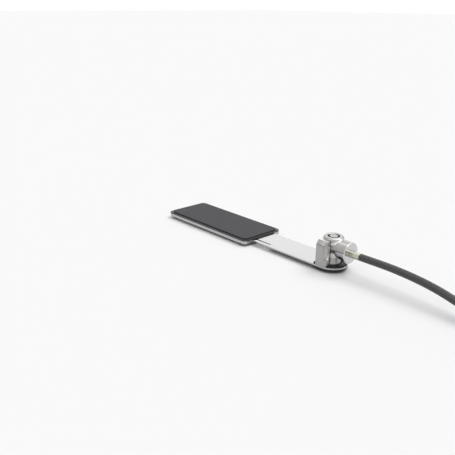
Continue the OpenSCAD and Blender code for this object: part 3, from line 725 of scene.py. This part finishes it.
POST_FRONT_Y = -9.9 * MM
POST_BACK_Y = -6.25 * MM    # a hair behind the back edge of the post's side
POST_SIDE_X = LOCK_X + 2.5 * MM
POST_TOP_Z = BLADE_TOP + 15.7 * MM
CREASE_Z = BLADE_TOP + 12.9 * MM
BEVEL_X = LOCK_X + 0.7 * MM
BEVEL_LINE_Z = BLADE_TOP + 4 * MM
ROUND_BARREL = 6.25 * MM
FLANGE_IN = 4.7 * MM
FLANGE_OUT = 5.1 * MM
FLANGE_LOW = BLADE_TOP + 4.75 * MM
FLANGE_HIGH = BLADE_TOP + 7.65 * MM
ON_FRONT = 0.25 * MM        # how near to the post's front a point on it has to lie
ON_SIDE = 0.06 * MM         # the same for its side
ON_TOP = 0.05 * MM          # the same for its top
# where the band of painted shade under the arm's shell lies
SHADE_BAND_LOW = BLADE_TOP + 10.4 * MM
SHADE_BAND_FADES = BLADE_TOP + 11.2 * MM
SHADE_BAND_ENDS = BLADE_TOP + 11.45 * MM
SHADE_BAND_X = POST_SIDE_X + 0.1 * MM


def satin_plating():
    """Nickel with soft clouds and a fine tooth. Lines of painted shade run along the crease of the
    post's front, where the sloping face starts, and down the edge of its bevel. The flange and
    the post's side and top are painted paler and less metallic, as painted light. A band of
    painted shade lies along the lower edge of the arm's shell."""
    finish = Finish("satin nickel plating", (0.39, 0.38, 0.37), 0.28, 1.0)
    cloud = finish.grain(2.5 * MM)
    fine = finish.grain(0.14 * MM, detail=3.0)
    x, y, z = finish.parts(finish.place())
    round_lock = finish.off_line(lock_axis, AROUND_Z)

    on_front = y < POST_FRONT_Y + ON_FRONT
    # painted shade: a dark line along the crease of the post's front
    crease = finish.painted_shade_line(z, CREASE_Z, inner=0.1 * MM, outer=0.28 * MM) * on_front
    # painted shade: a dark line down the edge of the post's bevel
    bevel = finish.painted_shade_line(x, BEVEL_X, inner=0.06 * MM, outer=0.24 * MM) * on_front
    bevel = bevel * (z < CREASE_Z) * finish.smooth_step(z, BEVEL_LINE_Z, CREASE_Z)

    # painted light: the flange is made paler and less metallic than the rest of the nickel
    turned = (round_lock > FLANGE_IN) * (round_lock < FLANGE_OUT)
    turned = turned * (z > FLANGE_LOW) * (z < FLANGE_HIGH)
    # painted light: the post's side and top are made paler and less metallic
    on_side = finish.near(x, POST_SIDE_X, ON_SIDE) * (y < POST_BACK_Y) * (z < CREASE_Z)
    on_post = (round_lock > ROUND_BARREL) * (y < 0.0) * (x < POST_SIDE_X + ON_SIDE)
    painted_light_faces = on_side + on_post * finish.near(z, POST_TOP_Z, ON_TOP)

    # painted shade: a dark band along the lower edge of the arm's shell
    painted_shade_band = 1 - finish.smooth_step(z, SHADE_BAND_FADES, SHADE_BAND_ENDS)
    painted_shade_band = painted_shade_band * (z > SHADE_BAND_LOW) * (x > SHADE_BAND_X)

    # dark gathers the painted shade, pale the painted light
    dark = (1 - 0.6 * crease) * (1 - 0.45 * bevel) * (1 - 0.7 * painted_shade_band)
    pale = (1 + turned) * (1 + 0.9 * painted_light_faces)
    plain = finish.between(cloud, (0.36, 0.353, 0.345), (0.42, 0.412, 0.403))
    finish.vary("Base Color", finish.stretched(plain, dark * pale))
    finish.vary("Metallic", 1 - 0.65 * (turned + painted_light_faces))
    finish.vary("Roughness", 0.2 + 0.14 * cloud + 0.06 * fine)
    finish.relief(fine, 0.006 * MM)
    return finish.material


def fillet_highlight_plating():
    """The same nickel, much paler: a painted highlight along the fillet."""
    # painted highlight: a pale nickel colour for the fillet
    finish = Finish("nickel with painted highlight", (0.66, 0.65, 0.64), 0.22, 1.0)
    cloud = finish.grain(2.5 * MM)
    finish.vary("Roughness", 0.18 + 0.12 * cloud)
    finish.vary("Base Color", finish.between(cloud, (0.6, 0.59, 0.58), (0.72, 0.71, 0.7)))
    return finish.material


KEYWAY_IN = 3.66 * MM
KEYWAY_OUT = 3.72 * MM


def case_plating():
    """The same nickel on the lock cylinder's case, with painted shade on the keyway's wall."""
    plating = (0.39, 0.385, 0.38)
    finish = Finish("plated lock case", plating, 0.26, 1.0)
    fine = finish.grain(0.14 * MM, detail=3.0)
    outside = finish.smooth_step(finish.off_line(lock_axis, AROUND_Z), KEYWAY_IN, KEYWAY_OUT)
    # painted shade: the keyway's wall is near black
    finish.vary("Base Color", finish.between(outside, (0.02, 0.02, 0.02), plating))
    finish.vary("Roughness", 0.22 + 0.08 * fine)
    finish.relief(fine, 0.004 * MM)
    return finish.material


def warm_plating():
    """Nickel with a warmer tint, and with marks that are longer round the arm than along it."""
    finish = Finish("warm nickel plating", (0.62, 0.6, 0.5), 0.22, 1.0)
    cloud = finish.grain(1.6 * MM)
    marks = finish.grain(0.1 * MM, (0.6, 8, 8))
    finish.vary("Roughness", 0.14 + 0.12 * cloud + 0.08 * marks)
    finish.vary("Base Color", finish.between(cloud, (0.47, 0.46, 0.38), (0.6, 0.59, 0.5)))
    finish.relief(marks, 0.003 * MM)
    return finish.material


RING_PITCH = 0.12 * MM


def turned_metal(name, dark, light, centre, across, roughness, depth=0.0015 * MM):
    """Rings round a line through the centre, which runs where across is 0. At a distance d
    from it the height is sin(2 pi d / RING_PITCH), with a little wobble."""
    finish = Finish(name, light, roughness, 1.0)
    distance = finish.off_line(centre, across)
    wobble = finish.grain(0.6 * MM)
    phase = distance * (2 * math.pi / RING_PITCH) + 1.5 * wobble
    rings = 0.5 + 0.5 * finish.function("SINE", phase)
    finish.vary("Roughness", roughness * (0.75 + 0.35 * rings + 0.3 * wobble))
    finish.vary("Base Color", finish.between(wobble, dark, light))
    finish.relief(rings, depth)
    return finish.material


satin_nickel = satin_plating()
fillet_highlight_nickel = fillet_highlight_plating()
plated_case = case_plating()
warm_nickel = warm_plating()
sleeve_nickel = turned_metal(
    "turned sleeve", (0.36, 0.36, 0.37), (0.42, 0.42, 0.43), arm_axis, AROUND_X, 0.16
)
polished_nickel = turned_metal(
    "polished plating",
    (0.56, 0.56, 0.575),
    (0.64, 0.64, 0.655),
    arm_axis,
    AROUND_X,
    0.14,
    depth=0.0002 * MM,
)
post_steel = turned_metal(
    "polished lock face", (0.3, 0.297, 0.293), (0.37, 0.366, 0.362), lock_axis, AROUND_Z, 0.2
)
# painted shade: the key plug, seen down the keyway, is near black
plug_shade_steel = turned_metal(
    "steel painted dark as shade", (0.02, 0.02, 0.02), (0.05, 0.05, 0.05), lock_axis, AROUND_Z, 0.4
)
bright_pin_steel = turned_metal(
    "bright pin steel", (0.78, 0.76, 0.74), (0.86, 0.84, 0.82), arm_axis, AROUND_X, 0.14
)
turned_steel = turned_metal(
    "turned steel", (0.5, 0.505, 0.515), (0.64, 0.645, 0.655), lock_axis, AROUND_Z, 0.3
)
turned_brass = turned_metal(
    "turned brass", (0.6, 0.43, 0.16), (0.76, 0.57, 0.25), lock_axis, AROUND_Z, 0.26
)
print("plated and turned metals made")

# %% sheet metals
STREAK_STRETCH = 300
SCRATCH_STRETCH = 160


def streaked_steel(name, dark, light, low, high, streak=0.05 * MM, depth=0.0015 * MM):
    """Streaks along X: a grain that is much longer than it is wide sets colour, roughness and
    relief together, and a few long scratches lie over it."""
    finish = Finish(name, light, (low + high) / 2, 1.0)
    streaks = finish.grain(streak, (STREAK_STRETCH, 1, 1), detail=3.0)
    cloud = finish.grain(6 * MM)
    scratches = finish.grain(0.09 * MM, (SCRATCH_STRETCH, 1, 1), detail=0.0)
    scratch_lines = finish.smooth_step(scratches, 0.7, 0.78)
    rough = low + (high - low) * (0.7 * streaks + 0.3 * cloud)
    finish.vary("Roughness", rough + 0.08 * scratch_lines)
    finish.vary("Base Color", finish.between(streaks, dark, light))
    finish.relief(streaks - 0.6 * scratch_lines, depth)
    return finish.material


blade_steel = streaked_steel(
    "polished stainless", (0.42, 0.42, 0.426), (0.51, 0.51, 0.516), 0.08, 0.2
)
sheet_steel = streaked_steel(
    "brushed sheet steel", (0.4, 0.405, 0.415), (0.56, 0.565, 0.575), 0.26, 0.42
)
spring_steel = streaked_steel(
    "blued spring steel", (0.3, 0.32, 0.36), (0.45, 0.47, 0.5), 0.2, 0.34
)
rivet_steel = streaked_steel(
    "rivet steel", (0.52, 0.52, 0.53), (0.68, 0.68, 0.69), 0.22, 0.36, streak=0.2 * MM
)
pressed_aluminium = streaked_steel(
    "pressed aluminium", (0.62, 0.625, 0.63), (0.78, 0.785, 0.79), 0.28, 0.46, streak=0.12 * MM
)
print("sheet metals made")

# %% [markdown]
# ## Paint, rubber and foam
#
# The housing's cover is powder-coated, which leaves a fine orange peel. The pads and feet
# are moulded rubber, matt with a fine tooth. The foam tape is full of cells, and the ones
# that the knife cut open are pits, whose floors get painted shade. Pits in the mesh would take
# millions of faces, and relief in the shader looks the same from a hand's width away.

# %% paint, rubber and foam
FOAM_CELL = 0.42 * MM


def powder_coat():
    """Soft lumps set roughness and relief, and much finer flecks set the colour."""
    finish = Finish("black powder coat", (0.022, 0.022, 0.024), 0.42)
    peel = finish.grain(0.45 * MM, detail=1.0)
    fleck = finish.grain(0.08 * MM, detail=0.0)
    finish.vary("Roughness", 0.34 + 0.16 * peel)
    finish.vary("Base Color", finish.between(fleck, (0.015, 0.015, 0.017), (0.032, 0.032, 0.035)))
    finish.relief(peel, 0.03 * MM)
    return finish.material


def moulded_rubber(name, dark, light, roughness):
    """A fine tooth in the relief, and wide clouds in the roughness and colour."""
    finish = Finish(name, light, roughness, constants={"Specular IOR Level": 0.35})
    tooth = finish.grain(0.11 * MM, detail=3.0)
    cloud = finish.grain(3 * MM)
    finish.vary("Roughness", roughness - 0.08 + 0.16 * cloud)
    finish.vary("Base Color", finish.between(0.6 * cloud + 0.4 * tooth, dark, light))
    finish.relief(tooth, 0.012 * MM)
    return finish.material


def foam_tape():
    """Random cells with a pit in the middle of each: pit is 1 close to a cell's centre, and
    the pit's floor is painted shade.
    """
    skin, pit_shade = (0.085, 0.085, 0.09), (0.03, 0.03, 0.033)
    constants = {"Specular IOR Level": 0.2}
    finish = Finish("closed-cell foam", (0.075, 0.075, 0.08), 0.85, constants=constants)
    where = finish.stretched(finish.place(), (1 / FOAM_CELL,) * 3)
    cell = finish.node("ShaderNodeTexVoronoi", None, {"Vector": where, "Scale": 1.0})
    pit = 1 - finish.smooth_step(cell, 0.12, 0.42)
    cloud = finish.grain(5 * MM)
    # painted shade: the pits' floors are darker
    finish.vary("Base Color", finish.between(pit * 0.8, skin, pit_shade))
    finish.vary("Roughness", 0.78 + 0.15 * cloud)
    finish.relief(1 - pit, 0.09 * MM)
    return finish.material


black_coat = powder_coat()
pad_rubber = moulded_rubber("matt pad rubber", (0.012, 0.012, 0.013), (0.024, 0.024, 0.026), 0.55)
foot_rubber = moulded_rubber("foot rubber", (0.02, 0.02, 0.021), (0.036, 0.036, 0.038), 0.68)
foam = foam_tape()
print("paint, rubber and foam made")

# %% [markdown]
# ## Cable jacket and straps
#
# The cable is a braid of bright wires under a smoky clear jacket. A picture of a braid would
# blur close by and leave a seam, so the braid is worked out. On the tube's own map, *u*
# runs along the cable in metres and *v* once round it. Two families of strands run at
# *u / p + n v* and *u / p - n v*. Each has a round back, and a chequer pattern says which one
# lies on top. The jacket itself is the shader's clear coat.

# %% cable jacket
STRANDS = 12
BRAID_PITCH = 1.3 * MM
WIRES = 4                   # how many show in one pitch of the braid


def braided_jacket():
    """A strand's back is |cos| of its family's phase. The product of both sines is over 0 in
    every second field of the braid, and there the first family lies on top."""
    finish = Finish(
        "smoky jacket over braid",
        (0.06, 0.06, 0.062),
        0.36,
        0.6,
        {"Coat Weight": 0.5, "Coat Roughness": 0.1, "Coat IOR": 1.4},
    )
    u, v, _ = finish.parts(finish.place("UV"))
    forward = math.pi * (u / BRAID_PITCH + STRANDS * v)
    backward = math.pi * (u / BRAID_PITCH - STRANDS * v)
    forward_back = finish.function("ABSOLUTE", finish.function("COSINE", forward))
    backward_back = finish.function("ABSOLUTE", finish.function("COSINE", backward))
    chequer = finish.function("SINE", forward) * finish.function("SINE", backward) > 0.0
    braid = chequer * forward_back + (1 - chequer) * backward_back
    wires = 0.5 + 0.5 * finish.function("COSINE", (forward + backward) * WIRES)
    haze = finish.grain(4 * MM)
    bright = braid * (0.75 + 0.25 * wires)
    # painted shade and painted glint: dark in the gaps between strands, bright on each strand's
    # round back
    braid_gap_shade, strand_back_glint = (0.003, 0.003, 0.003), (0.125, 0.125, 0.127)
    finish.vary("Base Color", finish.between(bright**2.0, braid_gap_shade, strand_back_glint))
    finish.vary("Roughness", 0.2 + 0.12 * haze)
    finish.relief(braid + 0.15 * wires, 0.05 * MM)
    return finish.material


jacket = braided_jacket()
print("jacket:", jacket.name)

# %% strap fabric
YARN = 0.7 * MM


def woven_strap():
    """Loops of yarn: warp and weft are ridges |sin| across and along, one over the other in a
    chequer, with a random nap on top."""
    finish = Finish(
        "hook-and-loop tape",
        (0.02, 0.02, 0.022),
        0.9,
        constants={"Sheen Weight": 0.35, "Sheen Roughness": 0.5, "Specular IOR Level": 0.2},
    )
    u, v, _ = finish.parts(finish.place("UV"))
    u = u * (math.pi / YARN)
    v = v * (math.pi / YARN)
    ridge_u = finish.function("ABSOLUTE", finish.function("SINE", u))
    ridge_v = finish.function("ABSOLUTE", finish.function("SINE", v))
    over = finish.function("SINE", u) * finish.function("SINE", v) > 0.0
    weave = over * ridge_u + (1 - over) * ridge_v
    nap = finish.grain(0.16 * MM, detail=3.0)
    shadow, yarn = (0.008, 0.008, 0.009), (0.07, 0.07, 0.075)
    finish.vary("Base Color", finish.between(weave * nap, shadow, yarn))
    finish.vary("Roughness", 0.8 + 0.18 * nap)
    finish.relief(weave + 0.8 * nap, 0.09 * MM)
    return finish.material


strap_fabric = woven_strap()
print("strap:", strap_fabric.name)

# %% [markdown]
# ## Giving out the finishes
#
# Each finish goes to the solids that it covers. A rolled copy takes the same finish as the
# solid that it stands for.

# %% giving out the finishes
FINISH_OF = {
    "housing_tray": sheet_steel,
    "channel_frame": sheet_steel,
    "housing_cover": black_coat,
    "adhesive_pad": foam,
    "rubber_feet": foot_rubber,
    "housing_rivets": rivet_steel,
    "guide_pin": rivet_steel,
    "friction_leaf": spring_steel,
    "blade": blade_steel,
    "top_pad": pad_rubber,
    "under_pad": pad_rubber,
    "lock_body": satin_nickel,
    "arm_cap": polished_nickel,
    "cylinder_case": plated_case,
    "case_pin": turned_steel,
    "post_dowel": bright_pin_steel,
    "driver_block": turned_brass,
    "driver_pins": turned_brass,
    "pin_springs": spring_steel,
    "key_plug": plug_shade_steel,
    "key_post": post_steel,
    "key_pins": turned_brass,
    "spindle": turned_steel,
    "spindle_clip": spring_steel,
    "t_bar": turned_steel,
    "swivel_sleeve": sleeve_nickel,
    "ferrule": warm_nickel,
}


def give(piece, finish):
    """Makes this the only material of a piece."""
    if not piece.material_slots:
        piece.data.materials.append(None)
    for slot in piece.material_slots:
        slot.material = finish


for node, finish in FINISH_OF.items():
    give(nodes[node], finish)
for node, piece in rolled_pieces.items():
    give(piece, FINISH_OF[node])
give(cable, jacket)
give(end_loop, jacket)
give(end_strap, strap_fabric)
give(middle_strap, strap_fabric)
give(crimp, pressed_aluminium)
give(fillet, fillet_highlight_nickel)
print("finishes given:", len(FINISH_OF), "solids")

# %% [markdown]
# ## Floor, light and surroundings
#
# The lock lies on a white sweep. A soft lamp behind it throws its shadow towards the camera.
# The other lamps are there for the bare metal, each as a bright patch that some of its faces
# mirror: the sheet lamp for level faces, the strip lamp for round backs, the front lamp for
# rolled edges and the top lamp for bevels. The room itself gives little light. Metal sees it
# white behind and a shade darker in front, and the camera sees it white all round, so that
# the sweep has no horizon.

# %% floor
FLOOR_HALF = 9.0
floor_mesh = bpy.data.meshes.new("floor")
floor_corners = [(-1, -1), (1, -1), (1, 1), (-1, 1)]
floor_points = [(x * FLOOR_HALF, y * FLOOR_HALF, 0) for x, y in floor_corners]
floor_mesh.from_pydata(floor_points, [], [(0, 1, 2, 3)])
floor = bpy.data.objects.new("floor", floor_mesh)
bpy.context.collection.objects.link(floor)
white_sweep = Finish("white sweep", (0.94, 0.94, 0.94), 0.9, constants={"Specular IOR Level": 0.0})
give(floor, white_sweep.material)
print("floor:", 2 * FLOOR_HALF, "m across")

# %% light
NEARLY_Y = (0.0, 1.0, 0.001)    # never quite in line with a lamp


def distant_lamp(name, towards, spread, irradiance):
    """A round soft lamp far away, in the direction towards, that looks spread degrees wide."""
    data = bpy.data.lights.new(name, "SUN")
    data.angle = math.radians(spread)
    data.energy = irradiance * math.pi
    made = bpy.data.objects.new(name, data)
    bpy.context.collection.objects.link(made)
    away = unit(np.array(towards, float))
    right = unit(np.cross(NEARLY_Y, away))
    up = np.cross(away, right)
    made.matrix_world = Matrix((right, up, away)).transposed().to_4x4()
    return made


back_lamp = distant_lamp("back lamp", (0.1, 0.6, 0.85), 34, 0.24)
sheet_lamp = distant_lamp("sheet lamp", (-0.7, 0.66, 0.28), 36, 0.05)
strip_lamp = distant_lamp("strip lamp", (-0.7, 0.15, 0.7), 26, 0.09)
front_lamp = distant_lamp("front lamp", (-0.18, -0.63, 0.75), 30, 0.08)
top_lamp = distant_lamp("top lamp", (0.3, 0.1, 0.95), 56, 0.33)
lamps = (back_lamp, sheet_lamp, strip_lamp, front_lamp, top_lamp)
print("lamps:", ", ".join(lamp.name for lamp in lamps))

# %% surroundings
world = bpy.data.worlds.new("surroundings")
bpy.context.scene.world = world
world.use_nodes = True


class Surroundings(Finish):
    """The same shader maths, on the world's node tree."""

    def __init__(self):
        self.tree = world.node_tree
        self.shader = self.tree.nodes["Background"]

    def seen_by(self, ray):
        """1 for rays of this kind, 0 for others."""
        return self.node("ShaderNodeLightPath", output=ray)


around = Surroundings()
back_and_up = {0: around.place("Generated"), 1: (-0.45, 0.8, 0.4)}
towards_back = around.node(
    "ShaderNodeVectorMath", {"operation": "DOT_PRODUCT"}, back_and_up, "Value"
)
whiteness = around.smooth_step(towards_back, -0.6, 0.6)
camera_ray = around.seen_by("Is Camera Ray")
seen = camera_ray + around.seen_by("Is Glossy Ray") + around.seen_by("Is Transmission Ray")
either = {0: whiteness, 1: camera_ray}
look_share = around.node("ShaderNodeMath", {"operation": "MAXIMUM"}, either)
light_of_room = around.between(whiteness, (0.21, 0.21, 0.212), (0.44, 0.44, 0.44))
look_of_room = around.between(look_share, (0.8, 0.8, 0.805), (1.0, 1.0, 1.0))
mixed = {0: seen, 6: light_of_room, 7: look_of_room}
around.vary("Color", around.node("ShaderNodeMix", {"data_type": "RGBA"}, mixed, output=2))
around.shader.inputs["Strength"].default_value = 1.0
print("surroundings made")

# %% last cell
bpy.context.scene.view_settings.view_transform = "Standard"
